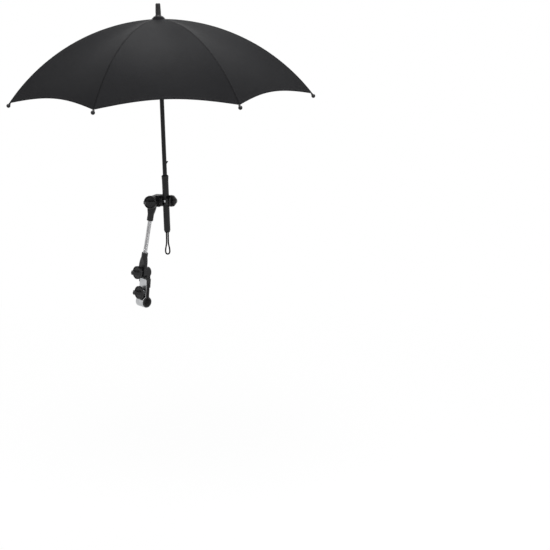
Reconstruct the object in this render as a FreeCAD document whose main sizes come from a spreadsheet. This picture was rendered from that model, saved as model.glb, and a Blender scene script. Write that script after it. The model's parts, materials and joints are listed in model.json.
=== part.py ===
import FreeCAD, Part
import math
import os

import Sketcher

# Pram parasol: a seven rib sunshade on a tube clamp with a wound steel neck.
# Frame: origin on the axis of the pram's tube at the middle of the clamp, +X along the tube,
# the lower knobs towards -Y, +Z up. Millimetres and degrees.

SIZES = [
    ("tube_radius", 11.0),
    ("liner_wall", 3.5),
    ("liner_proud", 1.0),
    ("strap_wall", 1.5),
    ("strap_width", 32.0),
    ("strap_drop", 19.0),
    ("strap_corner", 4.0),
    ("leg_gap", 3.0),
    ("leg_bend", 5.25),
    ("liner_top", 38.0),
    ("clamp_bolt_height", 27.0),
    ("pivot_height", 85.0),
    ("tongue_foot", 39.0),
    ("boss_radius", 14.5),
    ("boss_back", 10.0),
    ("flange_wall", 2.4),
    ("flange_gap", 0.3),
    ("flange_root", 1.0),
    ("flange_front_drop", 11.5),
    ("flange_back_drop", 24.0),
    ("shoulder_gap", 0.4),
    ("bolt_radius", 3.0),
    ("bolt_fit", 0.08),
    ("head_radius", 6.0),
    ("head_height", 3.5),
    ("nut_radius", 5.6),
    ("nut_height", 4.6),
    ("washer_radius", 9.0),
    ("washer_wall", 1.2),
    ("face_gap", 0.2),
    ("knob_radius", 18.5),
    ("knob_height", 9.0),
    ("knob_edge", 1.6),
    ("knob_socket", 12.0),
    ("knob_hub", 5.4),
    ("knob_hub_radius", 10.0),
    ("knob_dish", 1.4),
    ("knob_rim", 3.2),
    ("wing_height", 13.0),
    ("wing_width", 8.0),
    ("wing_inset", 1.5),
    ("wing_foot", 4.0),
    ("wing_crest", 5.5),
    ("knob_boss_radius", 5.4),
    ("knob_boss_height", 14.2),
    ("pole_knob_radius", 16.5),
    ("pole_knob_hub", 1.0),
    ("pole_knob_height", 6.0),
    ("pole_wing_height", 11.5),
    ("pole_boss_height", 12.6),
    ("eye_radius", 16.0),
    ("eye_width", 10.0),
    ("arm_socket_foot", 44.0),
    ("arm_socket_top", 58.0),
    ("sleeve_foot", 153.0),
    ("sleeve_top", 172.0),
    ("neck_reach", 208.0),
    ("socket_radius", 8.9),
    ("socket_floor_depth", 9.0),
    ("web_flat", 1.4),
    ("web_edge", 2.6),
    ("web_waist_depth", 10.0),
    ("arm_waist_reach", 18.0),
    ("arm_waist_width", 29.0),
    ("sleeve_waist_reach", 24.0),
    ("sleeve_waist_width", 23.0),
    ("spring_radius", 6.0),
    ("spring_wire", 1.8),
    ("spring_fit", 0.3),
    ("spring_lap", 6.0),
    ("core_radius", 2.9),
    ("block_depth", 26.7),
    ("block_half_height", 16.0),
    ("block_flat_end", 17.2),
    ("jaw_radius", 16.0),
    ("jaw_ring_depth", 0.8),
    ("jaw_ring_width", 1.0),
    ("pole_offset", 32.0),
    ("jaw_gap", 10.5),
    ("moving_jaw_wall", 7.0),
    ("recess_radius", 8.0),
    ("recess_depth", 7.4),
    ("grip_fit", 0.15),
    ("eyebolt_wall", 2.0),
    ("eyebolt_height", 6.0),
    ("eyebolt_fit", 0.3),
    ("eyebolt_stub", 8.0),
    ("notch_height", 494.0),
    ("shaft_radius", 6.0),
    ("shaft_wall", 0.8),
    ("shaft_fit", 0.1),
    ("shaft_top", 20.0),
    ("shaft_in_handle", 38.0),
    ("handle_radius", 9.0),
    ("handle_flare", 0.75),
    ("handle_flare_length", 16.0),
    ("handle_top", 422.0),
    ("handle_below", 86.0),
    ("handle_end_round", 2.5),
    ("handle_bead", 2.2),
    ("plug_radius", 7.4),
    ("plug_height", 3.0),
    ("strap_diameter", 4.2),
    ("strap_hang", 63.6),
    ("notch_radius", 13.5),
    ("notch_pivot_radius", 10.0),
    ("notch_foot", 6.0),
    ("notch_top", 5.6),
    ("slot_width", 4.0),
    ("slot_floor", 7.3),
    ("slot_roof", 3.2),
    ("ring_wire", 0.8),
    ("ring_fit", 0.2),
    ("rib_radius", 1.5),
    ("rib_arc_radius", 517.0),
    ("rib_length", 469.0),
    ("rib_eye_radius", 2.2),
    ("rib_eye_width", 3.0),
    ("clip_length", 191.0),
    ("clip_drop", 4.6),
    ("clip_rise", 0.5),
    ("clip_wall", 1.0),
    ("clip_radius", 2.6),
    ("clip_pin", 0.8),
    ("stretcher_radius", 1.3),
    ("stretcher_eye_radius", 2.0),
    ("stretcher_eye_width", 2.4),
    ("stretcher_fit", 0.15),
    ("tip_ball_radius", 5.4),
    ("tip_sleeve_radius", 2.7),
    ("tip_sleeve_length", 8.5),
    ("canopy_wall", 0.8),
    ("canopy_gap", 0.3),
    ("canopy_hole", 15.4),
    ("canopy_stop", 4.5),
    ("canopy_scallop", 24.0),
    ("canopy_sag", 6.0),
    ("cap_radius", 18.0),
    ("cap_wall", 0.9),
    ("cap_rise", 4.4),
    ("ferrule_radius", 6.0),
    ("ferrule_collar_radius", 13.0),
    ("ferrule_collar", 4.0),
    ("ferrule_tip_radius", 5.2),
    ("ferrule_height", 36.0),
    ("ferrule_wall", 1.4),
    ("runner_radius", 7.5),
    ("runner_crown_radius", 13.0),
    ("runner_crown_foot", 5.0),
    ("runner_crown_top", 5.0),
    ("runner_skirt", 38.0),
    ("runner_fit", 0.12),
    ("window_width", 4.2),
    ("window_top", 19.0),
    ("window_length", 14.0),
    ("stop_pin_radius", 1.2),
    ("stop_pin_reach", 1.6),
    ("catch_width", 2.4),
    ("catch_reach", 4.5),
    ("catch_length", 9.0),
    ("catch_leaf", 26.0),
    ("catch_leaf_wall", 1.0),
    ("catch_slot_gap", 0.4),
    ("cut_over", 2.0),
]

ANGLES = [
    ("clamp_lean_angle", 6.2),
    ("arm_lean_angle", 7.8),
    ("neck_turn_angle", 29.4),
    ("block_lean_angle", -11.7),
    ("canopy_turn_angle", 115.3),
    ("strap_turn_angle", 47.0),
    ("fold_angle", 61.0),
]

RIBS = 7
SPRING_TURNS = 46

doc = FreeCAD.newDocument("pram_parasol")
sheet = doc.addObject("Spreadsheet::Sheet", "Sizes")
for row, (alias, number) in enumerate(SIZES + ANGLES, start=1):
    sheet.set("A%d" % row, alias)
    sheet.set("B%d" % row, str(number))
    sheet.setAlias("B%d" % row, alias)
doc.recompute()


class Size:
    """A length or angle with its value and the expression that ties it to the sheet."""

    def __init__(self, value, text):
        self.value = value
        self.text = text

    def __add__(self, other):
        if not isinstance(other, Size):
            return self
        return Size(self.value + other.value, "(%s + %s)" % (self.text, other.text))

    def __sub__(self, other):
        return Size(self.value - other.value, "(%s - %s)" % (self.text, other.text))

    def __mul__(self, factor):
        return Size(self.value * factor, "(%s * %.9g)" % (self.text, factor))

    def __neg__(self):
        return self * -1

    def __float__(self):
        return float(self.value)


def size(alias):
    return Size(float(sheet.get(alias)), "Sizes." + alias)


def num(alias):
    return float(sheet.get(alias))


def found(value):
    """A size worked out from others in this source."""
    return Size(value, "%.9g" % value)


V = FreeCAD.Vector
AX = V(1, 0, 0)
AY = V(0, 1, 0)
AZ = V(0, 0, 1)


def turn(axis, degrees):
    return FreeCAD.Placement(V(0, 0, 0), FreeCAD.Rotation(axis, degrees))


def shift(x, y, z):
    return FreeCAD.Placement(V(float(x), float(y), float(z)), FreeCAD.Rotation())


# Local Z laid along another axis of the frame it is used in.
ALONG_X = turn(AY, 90)
ALONG_Y = turn(AX, -90)
ALONG_MINUS_Y = turn(AX, 90)


def bind(obj, **sizes):
    for prop, value in sizes.items():
        if isinstance(value, Size):
            setattr(obj, prop, value.value)
            obj.setExpression(prop, value.text)
        else:
            setattr(obj, prop, value)


counter = {"made": 0}


def fresh(kind, word):
    counter["made"] += 1
    return doc.addObject(kind, "%s_%d" % (word, counter["made"]))


def cylinder(radius, height, place):
    obj = fresh("Part::Cylinder", "cylinder")
    bind(obj, Radius=radius, Height=height)
    obj.Placement = place
    return obj


def box(length, width, height, place):
    obj = fresh("Part::Box", "box")
    bind(obj, Length=length, Width=width, Height=height)
    obj.Placement = place
    return obj


def ball(radius, place):
    obj = fresh("Part::Sphere", "ball")
    bind(obj, Radius=radius)
    obj.Placement = place
    return obj


def prism(sides, radius, height, place):
    obj = fresh("Part::Prism", "prism")
    obj.Polygon = sides
    bind(obj, Circumradius=radius, Height=height)
    obj.Placement = place
    return obj


def torus(radius, tube, place, sweep=None):
    obj = fresh("Part::Torus", "torus")
    bind(obj, Radius1=radius, Radius2=tube)
    if sweep is not None:
        obj.Angle3 = sweep
    obj.Placement = place
    return obj


def shaped(shape, word="form"):
    obj = fresh("Part::Feature", word)
    obj.Shape = shape
    return obj


def fuse(*pieces):
    obj = fresh("Part::MultiFuse", "fuse")
    obj.Shapes = list(pieces)
    obj.Refine = True
    return obj


def cut(base, *tools):
    for tool in tools:
        obj = fresh("Part::Cut", "cut")
        obj.Base = base
        obj.Tool = tool
        base = obj
    return base


PARTS = {}


def node(label, obj, place=None):
    if place is not None:
        obj.Placement = place * obj.Placement
    obj.Label = label
    PARTS[label] = obj
    return obj


# Bodies with sketches whose points are tied to the sheet.


def new_body(label, place):
    body = doc.addObject("PartDesign::Body", label)
    body.Placement = place
    body.Label = label
    PARTS[label] = body
    return body


def plane_of(body, role):
    for feature in body.Origin.OriginFeatures:
        if feature.Role == role:
            return feature
    raise RuntimeError("no plane " + role)


def new_sketch(body, role):
    counter["made"] += 1
    sketch = body.newObject("Sketcher::SketchObject", "sketch_%d" % counter["made"])
    sketch.AttachmentSupport = [(plane_of(body, role), "")]
    sketch.MapMode = "FlatFace"
    return sketch


def tie(sketch, kind, geometry, value):
    if abs(value.value) < 1e-9:
        axis = -2 if kind == "DistanceX" else -1
        sketch.addConstraint(Sketcher.Constraint("PointOnObject", geometry, 1, axis))
        return
    if value.value > 0:
        link = Sketcher.Constraint(kind, -1, 1, geometry, 1, value.value)
        text = value.text
    else:
        link = Sketcher.Constraint(kind, geometry, 1, -1, 1, -value.value)
        text = "-1 * " + value.text
    index = sketch.addConstraint(link)
    sketch.setExpression("Constraints[%d]" % index, text)


NIL = Size(0.0, "0")


def outline(body, role, points):
    """A closed sketch of straight lines through points given as pairs of sizes."""
    sketch = new_sketch(body, role)
    count = len(points)
    for n in range(count):
        (x0, y0), (x1, y1) = points[n], points[(n + 1) % count]
        line = Part.LineSegment(V(x0.value, y0.value, 0), V(x1.value, y1.value, 0))
        sketch.addGeometry(line, False)
    for n in range(count):
        link = Sketcher.Constraint("Coincident", n, 2, (n + 1) % count, 1)
        sketch.addConstraint(link)
    for n, (x, y) in enumerate(points):
        tie(sketch, "DistanceX", n, x)
        tie(sketch, "DistanceY", n, y)
    return sketch


def arc_edge(start, middle, end):
    """An arc through three points of a sketch plane, for a sketch."""
    circle = Part.Arc(start, middle, end)
    return circle


def lines_and_arcs(body, role, steps):
    """A closed sketch: each step is (point, None) for a line or (point, middle) for an arc to the next."""
    sketch = new_sketch(body, role)
    count = len(steps)
    for n in range(count):
        here, middle = steps[n]
        there = steps[(n + 1) % count][0]
        a = V(here[0], here[1], 0)
        b = V(there[0], there[1], 0)
        if middle is None:
            sketch.addGeometry(Part.LineSegment(a, b), False)
        else:
            sketch.addGeometry(arc_edge(a, V(middle[0], middle[1], 0), b), False)
    return sketch


def pad(body, sketch, length, symmetric=True, reverse=False):
    counter["made"] += 1
    feature = body.newObject("PartDesign::Pad", "pad_%d" % counter["made"])
    feature.Profile = sketch
    bind(feature, Length=length)
    if symmetric:
        if "SideType" in feature.PropertiesList:
            feature.SideType = "Symmetric"
        else:
            feature.Midplane = True
    feature.Reversed = reverse
    return feature


def revolve(body, sketch):
    counter["made"] += 1
    feature = body.newObject("PartDesign::Revolution", "turned_%d" % counter["made"])
    feature.Profile = sketch
    feature.ReferenceAxis = (sketch, ["V_Axis"])
    feature.Angle = 360.0
    return feature


def body_cylinder(body, kind, radius, height, place):
    counter["made"] += 1
    feature = body.newObject("PartDesign::%sCylinder" % kind, "round_%d" % counter["made"])
    bind(feature, Radius=radius, Height=height)
    feature.Placement = place
    return feature


def body_box(body, kind, length, width, height, place):
    counter["made"] += 1
    feature = body.newObject("PartDesign::%sBox" % kind, "block_%d" % counter["made"])
    bind(feature, Length=length, Width=width, Height=height)
    feature.Placement = place
    return feature


def around(body, feature, count):
    doc.recompute()
    counter["made"] += 1
    pattern = body.newObject("PartDesign::PolarPattern", "ring_%d" % counter["made"])
    pattern.Originals = [feature]
    pattern.Axis = (plane_of(body, "Z_Axis"), [""])
    pattern.Angle = 360.0
    pattern.Occurrences = count
    body.Tip = pattern
    return pattern


# Frames, each carried by the one before it.

strap_face = num("leg_gap") / 2 + num("liner_wall") + num("strap_wall")
arm_back = strap_face + num("face_gap")
arm_plane = arm_back + num("eye_width") / 2
CLAMP = turn(AX, -num("clamp_lean_angle"))
ARM = CLAMP * shift(0, -arm_plane, num("pivot_height")) * turn(AY, num("arm_lean_angle"))
NECK = ARM * turn(AZ, num("neck_turn_angle"))
BLOCK = NECK * shift(0, 0, num("neck_reach")) * turn(AY, num("block_lean_angle"))
block_back = num("eye_width") / 2 + num("face_gap")
block_mid = block_back + num("block_depth") / 2
# The block lies on the far side of the sleeve's eye from its knob.
BLOCK_SIDE = BLOCK * turn(AX, 180)
POLE = BLOCK * shift(num("pole_offset"), block_mid, 0)
TOP = POLE * shift(0, 0, num("notch_height")) * turn(AZ, num("canopy_turn_angle"))
BASE = TOP * shift(0, 0, -num("notch_height") - num("handle_below"))


# Tube clamp: a rubber liner in a bent steel strap whose two legs hold a plastic tongue.

gap_half = num("leg_gap") / 2
strap_top = num("pivot_height") - num("strap_drop")
leg_in = gap_half + num("liner_wall")
leg_out = leg_in + num("strap_wall")
bore = num("tube_radius")
ring_in = bore + num("liner_wall")
ring_out = ring_in + num("strap_wall")
bend_out = num("leg_bend")
bend_in = bend_out + num("strap_wall")
bend_y = leg_out + bend_out
bend_z = math.sqrt((ring_out + bend_out) ** 2 - bend_y**2)
bend_way = (bend_y / (ring_out + bend_out), bend_z / (ring_out + bend_out))


def keyhole(ring, leg, bend, top):
    """Half outline of the keyhole section, from the top of a leg round to the ring: points and arc middles."""
    meet = (bend_way[0] * ring, bend_way[1] * ring)
    way = (-1 - bend_way[0], -bend_way[1])
    length = math.hypot(way[0], way[1])
    middle = (bend_y + bend * way[0] / length, bend_z + bend * way[1] / length)
    return [((leg, top), None), ((leg, bend_z), middle), (meet, None)]


def keyhole_steps(ring, leg, bend, top):
    top_leg, fillet, meet = keyhole(ring, leg, bend, top)
    other_meet = (-meet[0][0], meet[0][1])
    other_mid = (-fillet[1][0], fillet[1][1])
    return [
        (top_leg[0], None),
        (fillet[0], fillet[1]),
        (meet[0], (0, -ring)),
        (other_meet, other_mid),
        ((-leg, bend_z), None),
    ]


def reversed_steps(steps):
    """The same steps walked the other way."""
    points = [s[0] for s in steps]
    middles = [s[1] for s in steps[:-1]]
    points.reverse()
    middles.reverse()
    return list(zip(points, middles + [None]))


liner = new_body("clamp_liner", CLAMP)
bore_top = math.sqrt(bore**2 - gap_half**2)
liner_steps = keyhole_steps(ring_in, leg_in, bend_in, num("liner_top"))
liner_steps += [
    ((-leg_in, num("liner_top")), None),
    ((-gap_half, num("liner_top")), None),
    ((-gap_half, bore_top), (0, -bore)),
    ((gap_half, bore_top), None),
    ((gap_half, num("liner_top")), None),
]
liner_pad = pad(
    liner,
    lines_and_arcs(liner, "YZ_Plane", liner_steps),
    size("strap_width") + size("liner_proud") * 2,
)
bolt_hole = size("bolt_radius") + size("bolt_fit")
leg_span = size("leg_gap") + size("liner_wall") * 2 + size("strap_wall") * 2
hole_span = leg_span + size("cut_over") * 2
hole_place = shift(0, -hole_span.value / 2, num("clamp_bolt_height")) * ALONG_Y
body_cylinder(liner, "Subtractive", bolt_hole, hole_span, hole_place)

strap = new_body("clamp_strap", CLAMP)
outer_steps = keyhole_steps(ring_out, leg_out, bend_out, strap_top)
inner_steps = reversed_steps(keyhole_steps(ring_in, leg_in, bend_in, strap_top))
strap_steps = outer_steps + [((-leg_out, strap_top), None), ((-leg_in, strap_top), None)]
strap_steps += inner_steps
pad(strap, lines_and_arcs(strap, "YZ_Plane", strap_steps), size("strap_width"))
body_cylinder(strap, "Subtractive", bolt_hole, hole_span, hole_place)
for side in (-1, 1):
    corner = shift(side * num("strap_width") / 2, -hole_span.value / 2, strap_top)
    tool = size("strap_corner")
    diagonal = corner * turn(AY, 45) * shift(-tool.value / 2, 0, -tool.value / 2)
    body_box(strap, "Subtractive", tool, hole_span, tool, diagonal)

bracket = new_body("clamp_bracket", CLAMP)
half_width = size("strap_width") * 0.5
tongue_foot = size("tongue_foot")
shoulder = (size("pivot_height") - size("strap_drop")) + size("shoulder_gap")
pivot = size("pivot_height")
boss = size("boss_radius")
tongue = [
    (-half_width, tongue_foot),
    (half_width, tongue_foot),
    (half_width, shoulder),
    (boss, pivot),
    (-boss, pivot),
    (-half_width, shoulder),
]
tongue_thick = size("leg_gap") + size("liner_wall") * 2
pad(bracket, outline(bracket, "XZ_Plane", tongue), tongue_thick)
cheeks = [(-half_width, shoulder), (half_width, shoulder), (boss, pivot), (-boss, pivot)]
pad(bracket, outline(bracket, "XZ_Plane", cheeks), leg_span)
boss_length = leg_span * 0.5 + size("boss_back")
boss_place = shift(0, -leg_out, num("pivot_height")) * ALONG_Y
body_cylinder(bracket, "Additive", boss, boss_length, boss_place)
over = num("cut_over")
# Side flanges beside the strap's legs, longer at the back, each on a root that grows from the tongue.
flange_in = half_width + size("flange_gap")
shoulder_over = size("flange_root") * 2
for side in (-1, 1):
    left = flange_in.value if side > 0 else -flange_in.value - num("flange_wall")
    root = size("flange_gap") + size("flange_root") * 2
    root_left = half_width.value - num("flange_root")
    if side < 0:
        root_left = -root_left - root.value
    for drop, low_y, deep_y in (
        (size("flange_front_drop"), -leg_out, leg_span * 0.5),
        (size("flange_back_drop"), 0, leg_span * 0.5),
    ):
        low_z = shoulder.value - drop.value
        rise = drop + shoulder_over
        body_box(bracket, "Additive", size("flange_wall"), deep_y, rise, shift(left, low_y, low_z))
    root_low = shoulder.value - num("flange_back_drop")
    root_deep = tongue_thick - size("flange_gap") * 2
    root_rise = size("flange_back_drop") + shoulder_over
    root_place = shift(root_left, -root_deep.value / 2, root_low)
    body_box(bracket, "Additive", root, root_deep, root_rise, root_place)
body_cylinder(
    bracket,
    "Subtractive",
    bolt_hole,
    boss_length + size("cut_over") * 2,
    shift(0, -leg_out - over, num("pivot_height")) * ALONG_Y,
)


def bolt(label, frame, back, front, head_sides=0):
    """A bolt along -Y of its frame: its head outside the back face, its end at the front."""
    start = shift(0, back.value, 0) * ALONG_MINUS_Y
    shank = cylinder(size("bolt_radius"), back - front, start)
    head_place = shift(0, (back + size("head_height")).value, 0) * ALONG_MINUS_Y
    if head_sides:
        head = prism(head_sides, size("head_radius"), size("head_height"), head_place)
    else:
        head = cylinder(size("head_radius"), size("head_height"), head_place)
    return node(label, fuse(shank, head), frame)


face = leg_span * 0.5
knob_reach = size("knob_socket") - size("face_gap")
CLAMP_BOLT = CLAMP * shift(0, 0, num("clamp_bolt_height"))
clamp_knob_base = -face - size("washer_wall") - size("face_gap")
bolt("clamp_bolt", CLAMP_BOLT, face, clamp_knob_base - knob_reach)
ARM_BOLT = CLAMP * shift(0, 0, num("pivot_height"))
eye_front = -face - size("face_gap") * 2 - size("eye_width")
arm_knob_base = eye_front - size("washer_wall") - size("face_gap")
bolt("arm_bolt", ARM_BOLT, size("boss_back"), arm_knob_base - knob_reach, 6)


def washer(frame, base):
    ring = cylinder(size("washer_radius"), size("washer_wall"), shift(0, base.value, 0) * ALONG_MINUS_Y)
    reach = size("washer_wall") + size("cut_over") * 2
    start = shift(0, base.value + over, 0) * ALONG_MINUS_Y
    hole = cylinder(bolt_hole, reach, start)
    ring = cut(ring, hole)
    ring.Placement = frame * ring.Placement
    return ring


washers = fresh("Part::Compound", "washers")
washers.Links = [washer(CLAMP_BOLT, -face), washer(ARM_BOLT, eye_front)]
node("knob_washers", washers)


def knob(label, place, radius, hub, disc, wing_rise, boss_rise):
    """A wing knob on its own Z axis: a hub, a dished disc, a tent shaped wing and a round boss."""
    body = new_body(label, place)
    height = hub + disc
    edge = size("knob_edge")
    rim = size("knob_rim")
    hub_radius = size("knob_hub_radius")
    section = [
        (NIL, NIL),
        (hub_radius, NIL),
        (hub_radius, hub),
        (radius - edge * 1.5, hub),
        (radius, hub + edge),
        (radius, height - edge),
        (radius - edge, height),
        (radius - rim, height),
        (radius - rim - edge, height - size("knob_dish")),
        (NIL, height - size("knob_dish")),
    ]
    revolve(body, outline(body, "XZ_Plane", section))
    reach = radius - size("wing_inset")
    foot = height - size("knob_dish") - size("knob_edge") * 0.3
    crest = height + wing_rise
    wing = [
        (-reach, foot),
        (reach, foot),
        (reach, height + size("wing_foot")),
        (size("wing_crest"), crest),
        (-size("wing_crest"), crest),
        (-reach, height + size("wing_foot")),
    ]
    pad(body, outline(body, "XZ_Plane", wing), size("wing_width"))
    boss_base = shift(0, 0, foot.value)
    body_cylinder(body, "Additive", size("knob_boss_radius"), height + boss_rise - foot, boss_base)
    socket_base = shift(0, 0, -over)
    body_cylinder(body, "Subtractive", bolt_hole, size("knob_socket") + size("cut_over"), socket_base)
    return body


def lower_knob(label, place):
    return knob(
        label,
        place,
        size("knob_radius"),
        size("knob_hub"),
        size("knob_height"),
        size("wing_height"),
        size("knob_boss_height"),
    )


CLAMP_KNOB = CLAMP_BOLT * shift(0, clamp_knob_base.value, 0) * ALONG_MINUS_Y
ARM_KNOB = ARM_BOLT * shift(0, arm_knob_base.value, 0) * ALONG_MINUS_Y
lower_knob("clamp_knob", CLAMP_KNOB)
lower_knob("arm_knob", ARM_KNOB)


# Neck: two moulded ends, each a flat eye that swells into a round socket, and the wound spring between.


def rounded(width, depth, corner, height):
    """A rounded rectangle as a wire at one height."""
    a = width / 2 - corner
    b = depth / 2 - corner
    k = corner / math.sqrt(2)
    x = width / 2
    y = depth / 2
    edges = []
    for sx, sy in ((1, 1), (-1, 1), (-1, -1), (1, -1)):
        if sx * sy > 0:
            start = V(sx * x, sy * b, height)
            end = V(sx * a, sy * y, height)
        else:
            start = V(sx * a, sy * y, height)
            end = V(sx * x, sy * b, height)
        middle = V(sx * (a + k), sy * (b + k), height)
        edges.append(Part.Arc(start, middle, end).toShape())
    ends = [e.Vertexes for e in edges]
    wire = []
    for n in range(4):
        wire.append(edges[n])
        p = edges[n].valueAt(edges[n].LastParameter)
        q = edges[(n + 1) % 4].valueAt(edges[(n + 1) % 4].FirstParameter)
        wire.append(Part.LineSegment(p, q).toShape())
    return Part.Wire(wire)


def eye_link(label, frame, eye_at, near, far, floor, waist):
    """An eye at one height, a web that turns from flat to round, and a socket from near to far."""
    eye_r = num("eye_radius")
    eye_w = num("eye_width")
    edge = num("web_edge")
    round_w = 2 * num("socket_radius")
    way = 1 if near > eye_at else -1
    start = eye_at + way * edge * 2
    middle = eye_at + way * num(waist + "_waist_reach")
    wires = [
        rounded(2 * eye_r - 2 * edge, eye_w, edge, start),
        rounded(num(waist + "_waist_width"), num("web_waist_depth"), edge, middle),
        rounded(round_w, round_w, num("socket_radius") - num("web_flat") / 2, near),
    ]
    web = shaped(Part.makeLoft(wires, True, False), "web")
    eye = cylinder(size("eye_radius"), size("eye_width"), shift(0, -eye_w / 2, eye_at) * ALONG_Y)
    low = min(near, far)
    length = abs(far - near)
    socket = fresh("Part::Cylinder", "socket")
    bind(socket, Radius=size("socket_radius"))
    socket.Height = length
    socket.Placement = shift(0, 0, low)
    solid = fuse(web, eye, socket)
    bore_low = min(floor, far) if way > 0 else far - over
    hole = fresh("Part::Cylinder", "hole")
    bind(hole, Radius=size("spring_radius") + size("spring_fit"))
    hole.Height = abs(far - floor) + over
    hole.Placement = shift(0, 0, bore_low)
    reach = size("eye_width") + size("cut_over") * 2
    pin = cylinder(bolt_hole, reach, shift(0, -eye_w / 2 - over, eye_at) * ALONG_Y)
    return node(label, cut(solid, hole, pin), frame)


lap = num("spring_lap")
socket_deep = num("socket_floor_depth")
arm_floor = num("arm_socket_top") - socket_deep
sleeve_floor = num("sleeve_foot") + socket_deep
eye_link("neck_arm", ARM, 0, num("arm_socket_foot"), num("arm_socket_top"), arm_floor, "arm")
eye_link("neck_sleeve", NECK, num("neck_reach"), num("sleeve_top"), num("sleeve_foot"), sleeve_floor, "sleeve")

core_length = sleeve_floor - arm_floor
core = fresh("Part::Cylinder", "core")
bind(core, Radius=size("core_radius"))
core.Height = core_length
core.Placement = shift(0, 0, arm_floor)
node("neck_core", core, NECK)


def biarc(a, ta, b, tb):
    """Two arcs from a to b that leave along ta and arrive along tb."""
    way = b - a
    both = ta + tb
    k = 2 * (1 - ta.dot(tb))
    p = 2 * way.dot(both)
    d = (-p + math.sqrt(p * p + 4 * k * way.dot(way))) / (2 * k)
    joint = ((a + ta * d) + (b - tb * d)) * 0.5
    arcs = []
    for start, end, corner in ((a, joint, a + ta * d), (joint, b, b - tb * d)):
        chord = end - start
        centre = (start + end) * 0.5
        rise = corner - centre
        tilt = math.atan2(rise.Length, chord.Length / 2)
        sag = chord.Length / 2 * math.tan(tilt / 2)
        middle = centre + rise.normalize() * sag
        arcs.append(Part.Arc(start, middle, end).toShape())
    return arcs


def wound(radius, wire, low, high, turns):
    """A spring of round wire as one tube along arcs of a helix, and its least gap to itself."""
    steps = 2 * turns
    rise = (high - low) / steps
    points = []
    ways = []
    for n in range(steps + 1):
        angle = math.pi * n
        points.append(V(radius * math.cos(angle), radius * math.sin(angle), low + rise * n))
        way = V(-math.pi * radius * math.sin(angle), math.pi * radius * math.cos(angle), rise)
        ways.append(way.normalize())
    edges = []
    for n in range(steps):
        edges += biarc(points[n], ways[n], points[n + 1], ways[n + 1])
    path = Part.Wire(edges)
    normal = ways[0]
    section = Part.Wire([Part.Circle(points[0], normal, wire / 2).toShape()])
    tube = path.makePipeShell([section], True, False)
    samples = []
    for edge in edges:
        span = edge.LastParameter - edge.FirstParameter
        samples += [edge.valueAt(edge.FirstParameter + span * part / 4) for part in range(4)]
    per_turn = 16
    least = 1e9
    for n in range(len(samples)):
        for m in range(n + per_turn // 2, min(len(samples), n + 2 * per_turn)):
            least = min(least, (samples[m] - samples[n]).Length)
    return tube, least - wire, path.Length


spring_low = num("arm_socket_top") - lap
spring_high = num("sleeve_foot") + lap
spring_mean = num("spring_radius") - num("spring_wire") / 2
tube, least_gap, wire_length = wound(
    spring_mean, num("spring_wire"), spring_low, spring_high, SPRING_TURNS
)
wire_area = math.pi * (num("spring_wire") / 2) ** 2
print("spring least gap %.3f mm" % least_gap)
print("spring volume %.1f, section times length %.1f" % (tube.Volume, wire_area * wire_length))
node("neck_spring", shaped(tube, "spring"), NECK)


# Pole clamp: a block that tilts on the sleeve's eye, with a fixed jaw, a moving jaw and an eye bolt.

back = -block_back
front = back - num("block_depth")
half = size("block_half_height")
depth = size("block_depth")
round_end = cylinder(half, depth, shift(0, back, 0) * ALONG_MINUS_Y)
flat_end = size("block_flat_end")
flat = box(flat_end, depth, half * 2, shift(0, front, -half.value))
jaw_face = size("pole_offset") - size("jaw_gap") * 0.5
MID = shift(0, -block_mid, 0)
disc = cylinder(size("jaw_radius"), jaw_face - flat_end, MID * shift(flat_end.value, 0, 0) * ALONG_X)
ring_at = (num("block_flat_end") + jaw_face.value - num("jaw_ring_width")) / 2
ring_blank = cylinder(
    size("jaw_radius") + size("cut_over"), size("jaw_ring_width"), MID * shift(ring_at, 0, 0) * ALONG_X
)
ring_core = cylinder(
    size("jaw_radius") - size("jaw_ring_depth"),
    size("jaw_ring_width"),
    MID * shift(ring_at, 0, 0) * ALONG_X,
)
block = cut(fuse(round_end, flat, disc), cut(ring_blank, ring_core))
grip = size("handle_radius") + size("grip_fit")
tall = size("jaw_radius") * 2 + size("cut_over") * 2
pole_groove = cylinder(grip, tall, MID * shift(num("pole_offset"), 0, -tall.value / 2))
eye_outer = size("handle_radius") + size("eyebolt_fit") + size("eyebolt_wall")
pocket_r = eye_outer + size("eyebolt_fit")
pocket_h = size("eyebolt_height") + size("eyebolt_fit") * 2
eye_pocket = cylinder(pocket_r, pocket_h, MID * shift(num("pole_offset"), 0, -pocket_h.value / 2))
recess_end = shift(0, front - over, 0) * ALONG_Y
recess = cylinder(size("recess_radius"), size("recess_depth") + size("cut_over"), recess_end)
pin_hole = cylinder(bolt_hole, depth + size("cut_over") * 2, shift(0, back + over, 0) * ALONG_MINUS_Y)
stub_start = num("pole_offset") - eye_outer.value - num("eyebolt_stub")
stub_hole = cylinder(
    bolt_hole, size("eyebolt_stub") + size("eyebolt_wall"), MID * shift(stub_start, 0, 0) * ALONG_X
)
node("upper_block", cut(block, pole_groove, eye_pocket, recess, pin_hole, stub_hole), BLOCK_SIDE)

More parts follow.
